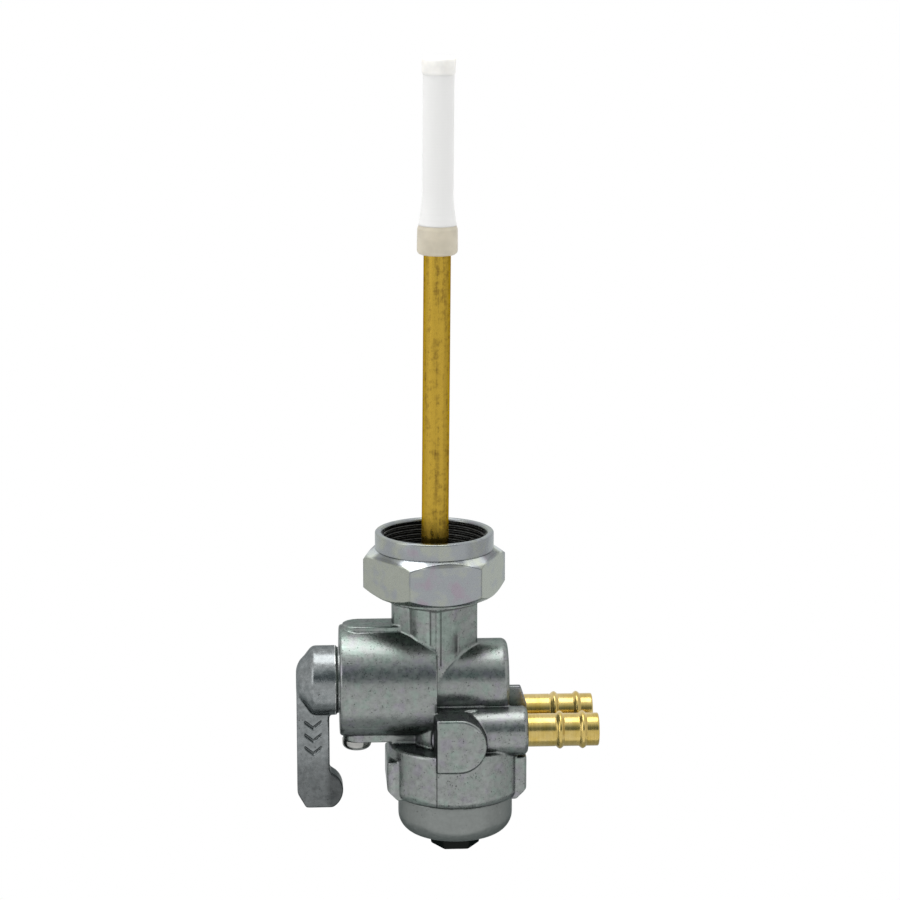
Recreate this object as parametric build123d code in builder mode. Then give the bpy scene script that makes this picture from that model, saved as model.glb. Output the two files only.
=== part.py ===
"""Fuel tap of a motorcycle: a die-cast valve body hangs under the tank from a union nut.

A brass standpipe with a nylon strainer rises into the tank, a lever turns a plug in the
horizontal barrel, two beaded brass spigots feed the hoses and a bowl below traps the dirt.

Frame, in millimetres: the origin is the centre of the union nut's mouth, where the tank's
threaded neck enters. +Z is up along the standpipe, +X runs towards the hose spigots and -Y
is the side from which the lever is at the left.
"""

import os
from math import cos, radians, sin, sqrt, tan

from build123d import *

os.makedirs("parts", exist_ok=True)

# Clearances
running_gap = 0.05
seal_gap = 0.02
thread_gap = 0.08
seat_gap = 0.1

# Union nut, with opposite threads at its two ends
nut_bore_radius = 10.46
nut_across_flats = 26.0
nut_rim_radius = 12.4
nut_rim_height = 3.55
nut_hex_height = 9.65
nut_chamfer_slope = 34.0
nut_turn = 7.4
nut_edge_break = 0.35
nut_cutter_margin = 3.0

# Neck of the casting, from its threaded spigot down to the barrel
neck_top_drop = 7.6
neck_collar_drop = 1.05
neck_half_width = 9.0
neck_shoulder_x = 8.7
neck_shoulder_y = 2.4
neck_hollow_x = 5.0
neck_hollow_y = 5.2
neck_prow_side_x = 3.9
neck_prow_side_y = 6.2
neck_prow_front_x = 1.0
neck_prow_front_y = 7.9
neck_corner_radius = 0.5
inlet_well_radius = 6.9
inlet_well_depth = 2.0
parting_rib_width = 0.7
parting_rib_height = 0.2

# Flat gasket on top of the neck
gasket_thickness = 1.5
gasket_radius = 10.1
gasket_bore_radius = 7.2

# Standpipe and the strainer on its top
pipe_radius = 2.8
pipe_wall = 0.6
pipe_lean = 0.5
pipe_socket_depth = 8.5
strainer_base = 57.7
strainer_height = 40.3
strainer_collar_height = 6.5
strainer_collar_stop = 1.4
strainer_collar_radius = 4.2
strainer_collar_draft = 0.25
strainer_edge_radius = 0.5
strainer_cap_height = 3.9
strainer_cap_radius = 3.5
sleeve_radius = 3.2
sleeve_flare_radius = 3.8
sleeve_flare_height = 6.0
sleeve_wall = 0.35
strainer_rib_count = 4
strainer_rib_width = 0.9
strainer_rib_depth = 0.8
strainer_rib_turn = 45.0

# Horizontal barrel that holds the plug
barrel_drop = 31.9
barrel_left = 20.0
barrel_radius = 11.65
barrel_edge_radius = 0.6
back_barrel_radius = 8.3
back_barrel_length = 15.3
back_barrel_edge_radius = 1.4
back_barrel_flat = 4.3
pad_half_width = 3.5
pad_top_reach = 12.3
pad_bottom_reach = 12.85
pad_left = 19.3
pad_bottom_right = 2.0
plug_bore_radius = 6.95
plug_bore_end = 4.1

# Fuel ports in the end of the plug bore
port_circle = 4.9
port_radius = 1.3
centre_port_radius = 1.7

# Rubber packing and the lever with its plug
packing_thickness = 3.0
plug_slot_depth = 2.4
lever_hub_radius = 7.3
lever_hub_left = 25.4
lever_hub_right = 20.6
lever_hub_edge_radius = 0.3
lever_nose_left = 29.05
lever_nose_radius = 2.2
lever_nose_bulge = 0.7
lever_nose_edge_radius = 1.2
lever_arm_left = 29.0
lever_arm_width = 6.85
lever_arm_thickness = 5.0
lever_arm_front = 3.0
lever_length = 27.2
lever_knob_radius = 4.35
lever_knob_height = 3.8
lever_knob_inset = 1.55
lever_knob_neck_radius = 0.8
lever_corner_cut_width = 1.8
lever_corner_cut_height = 3.2
seal_section_radius = 0.75
seal_groove_x = 11.6
stop_groove_depth = 1.7

# Retaining screw under the barrel, whose point runs in the plug's groove
screw_x = 16.4
screw_head_radius = 3.1
screw_head_height = 2.1
screw_head_edge_radius = 1.4
screw_shank_radius = 2.0
screw_point_radius = 1.3
screw_recess_radius = 1.5
screw_recess_depth = 1.1

# Sediment chamber, its neck and the bowl
bowl_x = 4.35
waist_radius = 9.3
housing_radius = 14.25
housing_below_axis = 13.2
housing_height = 11.5
housing_top_edge_radius = 0.7
housing_bottom_edge_radius = 2.2
side_pad_half_width = 7.3
side_pad_proud = 0.35
side_pad_left_top_inset = 2.9
side_pad_right_top_inset = 2.0
side_pad_bottom_inset = 2.4
side_pad_foot_cut = 2.2
side_pad_edge_break = 0.6
chamber_radius = 10.5
chamber_below_housing_top = 2.5
clean_well_radius = 7.4
clean_well_below_axis = 7.3
inlet_spigot_radius = 3.0
inlet_spigot_length = 2.4
bowl_radius = 12.05
bowl_height = 8.4
bowl_edge_radius = 4.0
bowl_wall = 2.2
bowl_hex_turn = 0.0
bowl_seal_section_radius = 0.5
bowl_hex_across_flats = 9.8
bowl_hex_draft = 8.0
bowl_hex_height = 3.3
bowl_seal_drop = 3.6
gauze_frame_thickness = 1.3
gauze_ring_width = 1.5
gauze_hub_width = 1.0
gauze_spoke_width = 1.2
gauze_spoke_count = 3
gauze_thickness = 0.25

# Front boss of the casting, which stops at the parting plane, and the disc that shows beside it
boss_x = 4.4
boss_below_axis = 10.55
boss_radius = 5.65
boss_proud = 0.55
boss_root = 7.0
boss_draft = 5.0
boss_edge_break = 0.3
boss_disc_radius = 5.5
boss_disc_reach = 9.9

# Parting plane of the casting
parting_x = -0.2
parting_groove_width = 0.3
parting_groove_depth = 0.2

# Outlet block and its two hose spigots
outlet_below_axis = 9.5
outlet_pitch = 14.0
outlet_boss_radius = 5.15
outlet_boss_overhang = 0.4
outlet_boss_edge_break = 0.7
outlet_web_below_axis = 2.65
outlet_web_front = 1.8
outlet_web_thickness = 1.7
outlet_web_overhang = 0.6
outlet_web_slant = 1.3
outlet_web_slant_height = 3.85
outlet_drilling_radius = 2.0
outlet_drilling_end = 6.0
hose_radius = 3.4
hose_wall = 1.0
hose_socket_depth = 6.7
hose_length = 14.9
first_bead = 6.8
second_bead = 11.55
bead_height = 0.55
bead_half_width = 0.62
hose_tip_break = 0.35

# Places worked out from the sizes above
nut_hex_top = -nut_rim_height
nut_bottom = nut_hex_top - nut_hex_height
collar_bottom = nut_bottom - neck_collar_drop
neck_top = -neck_top_drop
well_floor = neck_top - inlet_well_depth
socket_floor = well_floor - pipe_socket_depth
axis_z = -barrel_drop
strainer_top = strainer_base + strainer_height
pipe_top = strainer_base + strainer_collar_height - strainer_collar_stop
housing_top = axis_z - housing_below_axis
housing_bottom = housing_top - housing_height
bowl_bottom = housing_bottom - bowl_height
chamber_top = housing_top - chamber_below_housing_top
clean_well_top = axis_z - clean_well_below_axis
side_pad_reach = housing_radius + side_pad_proud
side_pad_left_top = housing_top - side_pad_left_top_inset
side_pad_right_top = housing_top - side_pad_right_top_inset
side_pad_bottom = housing_bottom + side_pad_bottom_inset
bowl_neck_radius = chamber_radius - thread_gap
bowl_neck_top = chamber_top - gauze_thickness - gauze_frame_thickness - running_gap
bowl_seal_z = housing_bottom + bowl_seal_drop
bowl_seal_floor = chamber_radius - 2 * (bowl_seal_section_radius + seal_gap)
plug_radius = plug_bore_radius - running_gap
plug_face = -plug_bore_end - packing_thickness - running_gap
screw_seat = axis_z - pad_bottom_reach
seal_floor = plug_bore_radius - 2 * (seal_section_radius + seal_gap)
stop_floor = plug_radius - stop_groove_depth
screw_shank_top = axis_z - plug_bore_radius - seat_gap
hose_bore_radius = hose_radius - hose_wall
lever_bottom = axis_z - lever_length
outlet_y = outlet_pitch / 2
outlet_z = axis_z - outlet_below_axis
outlet_boss_end = bowl_x + housing_radius + outlet_boss_overhang
outlet_web_end = outlet_boss_end + outlet_web_overhang
outlet_web_top = axis_z - outlet_web_below_axis
boss_z = axis_z - boss_below_axis
boss_reach = housing_radius + boss_proud
pipe_length = pipe_top - socket_floor
parting_groove_y = -sqrt(housing_radius ** 2 - (bowl_x - parting_x) ** 2)

barrel_plane = Plane(origin=(0, 0, axis_z), x_dir=(1, 0, 0), z_dir=(0, -1, 0))
barrel_axis = Axis((0, 0, axis_z), (1, 0, 0))
barrel_section = Plane(origin=(0, 0, axis_z), x_dir=(0, 1, 0), z_dir=(1, 0, 0))
bowl_plane = Plane(origin=(bowl_x, 0, 0), x_dir=(1, 0, 0), z_dir=(0, -1, 0))
bowl_axis = Axis((bowl_x, 0, 0), (0, 0, 1))
screw_plane = Plane(origin=(-screw_x, 0, 0), x_dir=(1, 0, 0), z_dir=(0, -1, 0))
screw_axis = Axis((-screw_x, 0, 0), (0, 0, 1))
pipe_direction = (sin(radians(pipe_lean)), 0, cos(radians(pipe_lean)))
pipe_foot = Plane(origin=(0, 0, socket_floor), x_dir=(cos(radians(pipe_lean)), 0, -sin(radians(pipe_lean))),
                  z_dir=pipe_direction)
pipe_plane = Plane(origin=pipe_foot.origin, x_dir=pipe_foot.x_dir, z_dir=(0, -1, 0))
pipe_axis = Axis(tuple(pipe_foot.origin), pipe_direction)


def corner(sketch, x, y):
    """Corner of a sketch that lies nearest to a place in the sketch's own plane."""
    return sketch.vertices().sort_by_distance((x, y))[0]


def ring_profile(inner, outer, bottom, top):
    """Rectangle in a section plane, to be turned about that plane's upright axis."""
    with Locations(((inner + outer) / 2, (bottom + top) / 2)):
        Rectangle(outer - inner, top - bottom)


# Union nut
with BuildPart() as union_nut:
    with BuildSketch(Plane.XY.offset(nut_bottom)):
        RegularPolygon(nut_across_flats / 2, 6, major_radius=False, rotation=nut_turn)
    extrude(amount=nut_hex_height)
    chamfer_reach = nut_across_flats / 2 + nut_cutter_margin
    chamfer_drop = (chamfer_reach - nut_rim_radius) * tan(radians(nut_chamfer_slope))
    with BuildSketch(Plane.XZ):
        with BuildLine():
            Polyline(
                (0, nut_hex_top), (nut_rim_radius, nut_hex_top),
                (chamfer_reach, nut_hex_top - chamfer_drop),
                (chamfer_reach, nut_bottom + chamfer_drop),
                (nut_rim_radius, nut_bottom), (0, nut_bottom), close=True,
            )
        make_face()
    revolve(axis=Axis.Z, mode=Mode.INTERSECT)
    with BuildSketch(Plane.XY.offset(nut_hex_top)):
        Circle(nut_rim_radius)
    extrude(amount=nut_rim_height)
    chamfer(union_nut.edges().group_by(Axis.Z)[-1], nut_edge_break)
    with BuildSketch(Plane.XY):
        Circle(nut_bore_radius)
    extrude(amount=nut_bottom, mode=Mode.SUBTRACT)
    chamfer(
        [e for e in union_nut.edges().filter_by(GeomType.CIRCLE)
         if abs(e.radius - nut_bore_radius) < 0.001],
        nut_edge_break,
    )
union_nut.part.label = "union_nut"
export_step(union_nut.part, "parts/union_nut.step")

# Flat gasket between the tank's neck and the tap
with BuildPart() as tank_gasket:
    with BuildSketch(Plane.XY.offset(neck_top)):
        Circle(gasket_radius)
        Circle(gasket_bore_radius, mode=Mode.SUBTRACT)
    extrude(amount=gasket_thickness)
tank_gasket.part.label = "tank_gasket"
export_step(tank_gasket.part, "parts/tank_gasket.step")

# Valve body, outer forms first and the drillings last
with BuildPart() as valve_body:
    # Threaded spigot inside the union nut
    with BuildSketch(Plane.XY.offset(collar_bottom)):
        Circle(nut_bore_radius - thread_gap)
    extrude(amount=neck_top - collar_bottom)

    # Neck with its wings and its front and rear prows
    with BuildSketch(Plane.XY.offset(axis_z)) as neck_plan:
        neck_quarter = [
            (neck_half_width, 0), (neck_shoulder_x, neck_shoulder_y), (neck_hollow_x, neck_hollow_y),
            (neck_prow_side_x, neck_prow_side_y), (neck_prow_front_x, neck_prow_front_y),
        ]
        with BuildLine():
            Polyline(
                *[(x, -y) for x, y in neck_quarter],
                *[(-x, -y) for x, y in neck_quarter[::-1]],
                *[(-x, y) for x, y in neck_quarter[1:]],
                *[(x, y) for x, y in neck_quarter[:0:-1]],
                close=True,
            )
        make_face()
        fillet([v for v in neck_plan.vertices() if abs(v.Y) > 0.1], neck_corner_radius)
        Rectangle(parting_rib_width, 2 * (neck_prow_front_y + parting_rib_height))
    extrude(amount=collar_bottom - axis_z)

    # Front barrel and the back barrel with its flat underside
    with BuildSketch(barrel_plane) as front_profile:
        with Locations((-barrel_left / 2, barrel_radius / 2)):
            Rectangle(barrel_left, barrel_radius)
        fillet(corner(front_profile, -barrel_left, barrel_radius), barrel_edge_radius)
    revolve(axis=barrel_axis)
    with BuildSketch(barrel_plane) as back_profile:
        with Locations((back_barrel_length / 2, back_barrel_radius / 2)):
            Rectangle(back_barrel_length, back_barrel_radius)
        fillet(corner(back_profile, back_barrel_length, back_barrel_radius), back_barrel_edge_radius)
    revolve(axis=barrel_axis)
    with BuildSketch(Plane.XY.offset(axis_z - back_barrel_flat)):
        with Locations((back_barrel_length / 2, 0)):
            Rectangle(back_barrel_length, 2 * back_barrel_radius)
    extrude(amount=-back_barrel_radius, mode=Mode.SUBTRACT)

    # Flat pads along the top and the underside of the front barrel, both rounded at their left
    for reach, right_end in ((pad_top_reach, 0), (-pad_bottom_reach, -pad_bottom_right)):
        with BuildSketch(Plane.XY.offset(axis_z)):
            with Locations((-pad_left + pad_half_width, 0)):
                Circle(pad_half_width)
            with Locations(((right_end - pad_left + pad_half_width) / 2, 0)):
                Rectangle(pad_left - pad_half_width + right_end, 2 * pad_half_width)
        extrude(amount=reach)

    # Waist below the back barrel's flat, and sediment housing
    with BuildSketch(Plane.XY.offset(axis_z - back_barrel_flat)):
        with Locations((bowl_x, 0)):
            Circle(waist_radius)
    extrude(amount=back_barrel_flat - housing_below_axis)
    with BuildSketch(bowl_plane) as housing_profile:
        with Locations((housing_radius / 2, housing_top - housing_height / 2)):
            Rectangle(housing_radius, housing_height)
        fillet(corner(housing_profile, housing_radius, housing_top), housing_top_edge_radius)
        fillet(corner(housing_profile, housing_radius, housing_bottom), housing_bottom_edge_radius)
    revolve(axis=bowl_axis)

    # Pads on the two sides of the housing, cut away at their feet
    with BuildPart() as side_pads:
        with BuildSketch(bowl_plane):
            with BuildLine():
                Polyline(
                    (-side_pad_reach, side_pad_left_top), (-side_pad_reach, side_pad_bottom),
                    (-side_pad_reach + side_pad_foot_cut, side_pad_bottom - side_pad_foot_cut),
                    (side_pad_reach - side_pad_foot_cut, side_pad_bottom - side_pad_foot_cut),
                    (side_pad_reach, side_pad_bottom), (side_pad_reach, side_pad_right_top), close=True,
                )
            make_face()
        extrude(amount=side_pad_half_width, both=True)
        chamfer(side_pads.edges().filter_by(Axis.Z), side_pad_edge_break)

    # Drafted front boss, rounded at its right and cut square near the parting plane
    boss_root_radius = boss_radius + (boss_reach - boss_root) * tan(radians(boss_draft))
    boss_root_length = boss_x - parting_x + boss_root_radius - boss_radius
    with BuildPart() as front_boss:
        with BuildSketch(Plane(origin=(boss_x, -boss_root, boss_z), x_dir=(1, 0, 0), z_dir=(0, -1, 0))):
            Circle(boss_root_radius)
            with Locations((-boss_root_length / 2, 0)):
                Rectangle(boss_root_length, 2 * boss_root_radius)
            with Locations((-boss_root_length - boss_root_radius, 0)):
                Rectangle(2 * boss_root_radius, 2 * boss_root_radius, mode=Mode.SUBTRACT)
        extrude(amount=boss_reach - boss_root, taper=boss_draft)
        chamfer(front_boss.faces().sort_by(Axis.Y)[0].edges(), boss_edge_break)
    with BuildSketch(Plane(origin=(boss_x, -boss_disc_reach, boss_z), x_dir=(1, 0, 0), z_dir=(0, -1, 0))):
        Circle(boss_disc_radius)
    extrude(amount=-boss_disc_reach)

    # Outlet bosses with their edges broken, and the slanted web in front of the rear one
    for y in (-outlet_y, outlet_y):
        with BuildSketch(Plane(origin=(0, y, outlet_z), x_dir=(1, 0, 0), z_dir=(0, -1, 0))) as outlet_profile:
            with Locations(((bowl_x + outlet_boss_end) / 2, outlet_boss_radius / 2)):
                Rectangle(outlet_boss_end - bowl_x, outlet_boss_radius)
            chamfer(corner(outlet_profile, outlet_boss_end, outlet_boss_radius), outlet_boss_edge_break)
        revolve(axis=Axis((0, y, outlet_z), (1, 0, 0)))
    with BuildSketch(Plane(origin=(0, outlet_web_front, 0), x_dir=(1, 0, 0), z_dir=(0, -1, 0))):
        with BuildLine():
            Polyline(
                (bowl_x, housing_top), (outlet_boss_end, housing_top), (outlet_web_end, outlet_z),
                (outlet_web_end, outlet_web_top - outlet_web_slant_height),
                (outlet_web_end - outlet_web_slant, outlet_web_top), (bowl_x, outlet_web_top), close=True,
            )
        make_face()
    extrude(amount=-outlet_web_thickness)

    # Groove that the parting plane leaves down the front of the housing
    with BuildSketch(Plane.XY.offset(housing_bottom)):
        with Locations((parting_x - parting_groove_width / 2, parting_groove_y)):
            Rectangle(parting_groove_width, 2 * parting_groove_depth)
    extrude(amount=housing_height, mode=Mode.SUBTRACT)

    # Inlet well round the standpipe, and the pipe's leaning socket
    with BuildSketch(Plane.XY.offset(neck_top)):
        Circle(inlet_well_radius)
    extrude(amount=-inlet_well_depth, mode=Mode.SUBTRACT)
    with BuildSketch(pipe_foot):
        Circle(pipe_radius)
    extrude(amount=pipe_socket_depth + inlet_well_depth, mode=Mode.SUBTRACT)

    # Main passage from the standpipe and reserve passage from the well
    with BuildSketch(Plane(origin=(0, -port_circle, axis_z),
                           z_dir=(0, port_circle, socket_floor - axis_z))):
        Circle(port_radius)
    extrude(amount=((socket_floor - axis_z) ** 2 + port_circle ** 2) ** 0.5 + port_radius, mode=Mode.SUBTRACT)
    with BuildSketch(Plane.XY.offset(well_floor)):
        with Locations((0, port_circle)):
            Circle(port_radius)
    extrude(amount=axis_z - well_floor, mode=Mode.SUBTRACT)

    # Plug bore with its three ports
    with BuildSketch(barrel_section.offset(-plug_bore_end)):
        Circle(plug_bore_radius)
    extrude(amount=-barrel_left, mode=Mode.SUBTRACT)
    with BuildSketch(barrel_section.offset(-plug_bore_end)):
        with Locations((-port_circle, 0), (port_circle, 0)):
            Circle(port_radius)
    extrude(amount=plug_bore_end + port_radius, mode=Mode.SUBTRACT)

    # Tapped hole of the retaining screw
    with BuildSketch(Plane.XY.offset(screw_seat)):
        with Locations((-screw_x, 0)):
            Circle(screw_shank_radius + running_gap)
    extrude(amount=pad_bottom_reach, mode=Mode.SUBTRACT)

    # Chamber for the bowl, with the annular clean well above it
    with BuildSketch(Plane.XY.offset(housing_bottom)):
        with Locations((bowl_x, 0)):
            Circle(chamber_radius)
    extrude(amount=chamber_top - housing_bottom, mode=Mode.SUBTRACT)
    with BuildSketch(Plane.XY.offset(chamber_top)):
        with Locations((bowl_x, 0)):
            Circle(clean_well_radius)
    extrude(amount=clean_well_top - chamber_top, mode=Mode.SUBTRACT)
    with BuildSketch(Plane.XY.offset(chamber_top - inlet_spigot_length)):
        with Locations((bowl_x, 0)):
            Circle(inlet_spigot_radius)
    extrude(amount=inlet_spigot_length + clean_well_top - chamber_top)

    # Passage from the plug's centre down through the spigot into the bowl
    with BuildSketch(barrel_section.offset(-plug_bore_end)):
        Circle(centre_port_radius)
    extrude(amount=plug_bore_end + bowl_x, mode=Mode.SUBTRACT)
    with BuildSketch(Plane.XY.offset(axis_z)):
        with Locations((bowl_x, 0)):
            Circle(centre_port_radius)
    extrude(amount=chamber_top - inlet_spigot_length - axis_z, mode=Mode.SUBTRACT)

    # Outlet drillings and the sockets of the spigots
    with BuildSketch(Plane(origin=(outlet_boss_end, 0, outlet_z), x_dir=(0, 1, 0), z_dir=(1, 0, 0))):
        with Locations((-outlet_y, 0), (outlet_y, 0)):
            Circle(outlet_drilling_radius)
    extrude(amount=outlet_drilling_end - outlet_boss_end, mode=Mode.SUBTRACT)
    with BuildSketch(Plane(origin=(outlet_boss_end, 0, outlet_z), x_dir=(0, 1, 0), z_dir=(1, 0, 0))):
        with Locations((-outlet_y, 0), (outlet_y, 0)):
            Circle(hose_radius)
    extrude(amount=-hose_socket_depth, mode=Mode.SUBTRACT)
valve_body.part.label = "valve_body"
export_step(valve_body.part, "parts/valve_body.step")

# Standpipe
with BuildPart() as standpipe:
    with BuildSketch(pipe_foot):
        Circle(pipe_radius)
        Circle(pipe_radius - pipe_wall, mode=Mode.SUBTRACT)
    extrude(amount=pipe_length)
standpipe.part.label = "standpipe"
export_step(standpipe.part, "parts/standpipe.step")

# Strainer frame: collar, ribs and cap, on the pipe's own axis
collar_foot = strainer_base - socket_floor
collar_top = collar_foot + strainer_collar_height
cap_top = strainer_top - socket_floor
cap_foot = cap_top - strainer_cap_height
sleeve_bore = sleeve_radius - sleeve_wall
with BuildPart() as filter_frame:
    with BuildSketch(pipe_plane) as collar_profile:
        with BuildLine():
            Polyline(
                (pipe_radius, collar_foot), (strainer_collar_radius, collar_foot),
                (strainer_collar_radius - strainer_collar_draft, collar_top),
                (pipe_radius - pipe_wall, collar_top), (pipe_radius - pipe_wall, pipe_length),
                (pipe_radius, pipe_length), close=True,
            )
        make_face()
        chamfer(corner(collar_profile, strainer_collar_radius, collar_foot), strainer_edge_radius)
    revolve(axis=pipe_axis)
    with BuildSketch(pipe_plane) as cap_profile:
        with Locations((strainer_cap_radius / 2, (cap_foot + cap_top) / 2)):
            Rectangle(strainer_cap_radius, strainer_cap_height)
        fillet(corner(cap_profile, strainer_cap_radius, cap_top), strainer_edge_radius)
    revolve(axis=pipe_axis)
    with BuildSketch(pipe_foot.offset(collar_top)):
        with PolarLocations(sleeve_bore - seat_gap - strainer_rib_depth / 2, strainer_rib_count, strainer_rib_turn):
            Rectangle(strainer_rib_depth, strainer_rib_width)
    extrude(amount=cap_foot - collar_top)
filter_frame.part.label = "filter_frame"
export_step(filter_frame.part, "parts/filter_frame.step")

# Strainer sleeve, flared where it meets the collar
with BuildPart() as filter_mesh:
    with BuildSketch(pipe_plane):
        with BuildLine():
            Polyline(
                (sleeve_flare_radius - sleeve_wall, collar_top), (sleeve_flare_radius, collar_top),
                (sleeve_radius, collar_top + sleeve_flare_height), (sleeve_radius, cap_foot),
                (sleeve_bore, cap_foot), (sleeve_bore, collar_top + sleeve_flare_height), close=True,
            )
        make_face()
    revolve(axis=pipe_axis)
filter_mesh.part.label = "filter_mesh"
export_step(filter_mesh.part, "parts/filter_mesh.step")

# Rubber packing at the end of the plug bore
with BuildPart() as packing:
    with BuildSketch(barrel_section.offset(-plug_bore_end)):
        Circle(plug_bore_radius - seal_gap)
        Circle(centre_port_radius, mode=Mode.SUBTRACT)
        with Locations((-port_circle, 0), (port_circle, 0)):
            Circle(port_radius, mode=Mode.SUBTRACT)
    extrude(amount=-packing_thickness)
packing.part.label = "packing"
export_step(packing.part, "parts/packing.step")

# Lever, cast in one with its hub and its plug
arm_plane = Plane(origin=(0, -lever_arm_front, 0), x_dir=(1, 0, 0), z_dir=(0, -1, 0))
arm_right = -lever_arm_left + lever_arm_width
knob_x = arm_right - lever_knob_inset
knob_z = lever_bottom + lever_knob_height
with BuildPart() as lever:
    with BuildSketch(barrel_plane) as hub_profile:
        with BuildLine():
            Polyline(
                (-lever_hub_left, lever_hub_radius), (-lever_hub_right, lever_hub_radius),
                (-lever_hub_right, plug_radius), (plug_face, plug_radius), (plug_face, 0),
                (-lever_nose_left, 0), (-lever_nose_left, lever_nose_radius),
            )
            SagittaArc(
                (-lever_nose_left, lever_nose_radius), (-lever_hub_left, lever_hub_radius), lever_nose_bulge,
            )
        make_face()
        fillet(corner(hub_profile, -lever_nose_left, lever_nose_radius), lever_nose_edge_radius)
        fillet(corner(hub_profile, -lever_hub_left, lever_hub_radius), lever_hub_edge_radius)
    revolve(axis=barrel_axis)

    # Arm with its finger knob
    with BuildSketch(arm_plane) as arm_plan:
        with BuildLine():
            Polyline(
                (-lever_arm_left, axis_z), (-lever_arm_left, lever_bottom + lever_corner_cut_height),
                (-lever_arm_left + lever_corner_cut_width, lever_bottom), (arm_right, lever_bottom),
                (arm_right, axis_z), close=True,
            )
        make_face()
        with Locations((knob_x, knob_z)):
            Circle(lever_knob_radius)
        with Locations((knob_x, lever_bottom - lever_knob_radius)):
            Rectangle(3 * lever_knob_radius, 2 * lever_knob_radius, mode=Mode.SUBTRACT)
        knob_neck_z = knob_z + sqrt(lever_knob_radius ** 2 - lever_knob_inset ** 2)
        fillet(corner(arm_plan, arm_right, knob_neck_z), lever_knob_neck_radius)
    extrude(amount=-lever_arm_thickness)

    # Slot in the plug's face, from the centre port to the port that the lever chooses
    with BuildSketch(barrel_section.offset(plug_face)):
        with Locations((-port_circle / 2, 0)):
            SlotCenterToCenter(port_circle, 2 * port_radius)
    extrude(amount=-plug_slot_depth, mode=Mode.SUBTRACT)

    # Groove of the rubber ring
    with BuildSketch(barrel_section.offset(-seal_groove_x)):
        Circle(plug_bore_radius)
        Circle(seal_floor, mode=Mode.SUBTRACT)
    extrude(amount=seal_section_radius + running_gap, both=True, mode=Mode.SUBTRACT)

    # Groove of the screw's point, which runs round the rear and ends where the lever stops
    with BuildSketch(barrel_section.offset(-screw_x)):
        Circle(plug_bore_radius)
        Circle(stop_floor, mode=Mode.SUBTRACT)
        with Locations((-plug_bore_radius, 0)):
            Rectangle(2 * plug_bore_radius, 2 * plug_bore_radius, mode=Mode.SUBTRACT)
    extrude(amount=screw_point_radius + running_gap, both=True, mode=Mode.SUBTRACT)
    for side in (-1, 1):
        with BuildSketch(Plane.XY.offset(axis_z + side * stop_floor)):
            with Locations((-screw_x, 0)):
                Circle(screw_point_radius + running_gap)
        extrude(amount=side * (stop_groove_depth + running_gap), mode=Mode.SUBTRACT)
lever.part.label = "lever"
export_step(lever.part, "parts/lever.step")

# Rubber ring round the plug
with BuildPart() as spindle_seal:
    with BuildSketch(barrel_plane):
        with Locations((-seal_groove_x, plug_bore_radius - seal_gap - seal_section_radius)):
            Circle(seal_section_radius)
    revolve(axis=barrel_axis)
spindle_seal.part.label = "spindle_seal"
export_step(spindle_seal.part, "parts/spindle_seal.step")

# Retaining screw with a domed head, from its recess up to its point
with BuildPart() as lever_screw:
    with BuildSketch(screw_plane) as screw_profile:
        ring_profile(0, screw_head_radius, screw_seat - screw_head_height, screw_seat)
        fillet(corner(screw_profile, screw_head_radius, screw_seat - screw_head_height), screw_head_edge_radius)
        ring_profile(0, screw_shank_radius, screw_seat, screw_shank_top)
        ring_profile(0, screw_point_radius, screw_shank_top, axis_z - stop_floor - seat_gap)
    revolve(axis=screw_axis)
    with BuildSketch(Plane.XY.offset(screw_seat - screw_head_height)):
        with Locations((-screw_x, 0)):
            RegularPolygon(screw_recess_radius, 6)
    extrude(amount=screw_recess_depth, mode=Mode.SUBTRACT)
lever_screw.part.label = "lever_screw"
export_step(lever_screw.part, "parts/lever_screw.step")

# Sediment bowl with its screwed neck and its hexagon
with BuildPart() as sediment_bowl:
    with BuildSketch(bowl_plane) as bowl_profile:
        ring_profile(0, bowl_radius, bowl_bottom, housing_bottom)
        fillet(corner(bowl_profile, bowl_radius, bowl_bottom), bowl_edge_radius)
        ring_profile(0, bowl_neck_radius, housing_bottom, bowl_neck_top)
    revolve(axis=bowl_axis)
    with BuildSketch(bowl_plane) as bowl_hollow:
        ring_profile(0, bowl_neck_radius - bowl_wall, bowl_bottom + bowl_wall, bowl_neck_top)
        fillet(corner(bowl_hollow, bowl_neck_radius - bowl_wall, bowl_bottom + bowl_wall), bowl_edge_radius - bowl_wall)
    revolve(axis=bowl_axis, mode=Mode.SUBTRACT)
    with BuildSketch(bowl_plane):
        ring_profile(bowl_seal_floor, chamber_radius, bowl_seal_z - bowl_seal_section_radius - running_gap,
                     bowl_seal_z + bowl_seal_section_radius + running_gap)
    revolve(axis=bowl_axis, mode=Mode.SUBTRACT)
    with BuildSketch(Plane.XY.offset(bowl_bottom)):
        with Locations((bowl_x, 0)):
            RegularPolygon(bowl_hex_across_flats / 2, 6, major_radius=False, rotation=bowl_hex_turn)
    extrude(amount=-bowl_hex_height, taper=bowl_hex_draft)
sediment_bowl.part.label = "sediment_bowl"
export_step(sediment_bowl.part, "parts/sediment_bowl.step")

# Rubber ring round the bowl's neck
with BuildPart() as bowl_seal:
    with BuildSketch(bowl_plane):
        with Locations((chamber_radius - seal_gap - bowl_seal_section_radius, bowl_seal_z)):
            Circle(bowl_seal_section_radius)
    revolve(axis=bowl_axis)
bowl_seal.part.label = "bowl_seal"
export_step(bowl_seal.part, "parts/bowl_seal.step")

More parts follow.
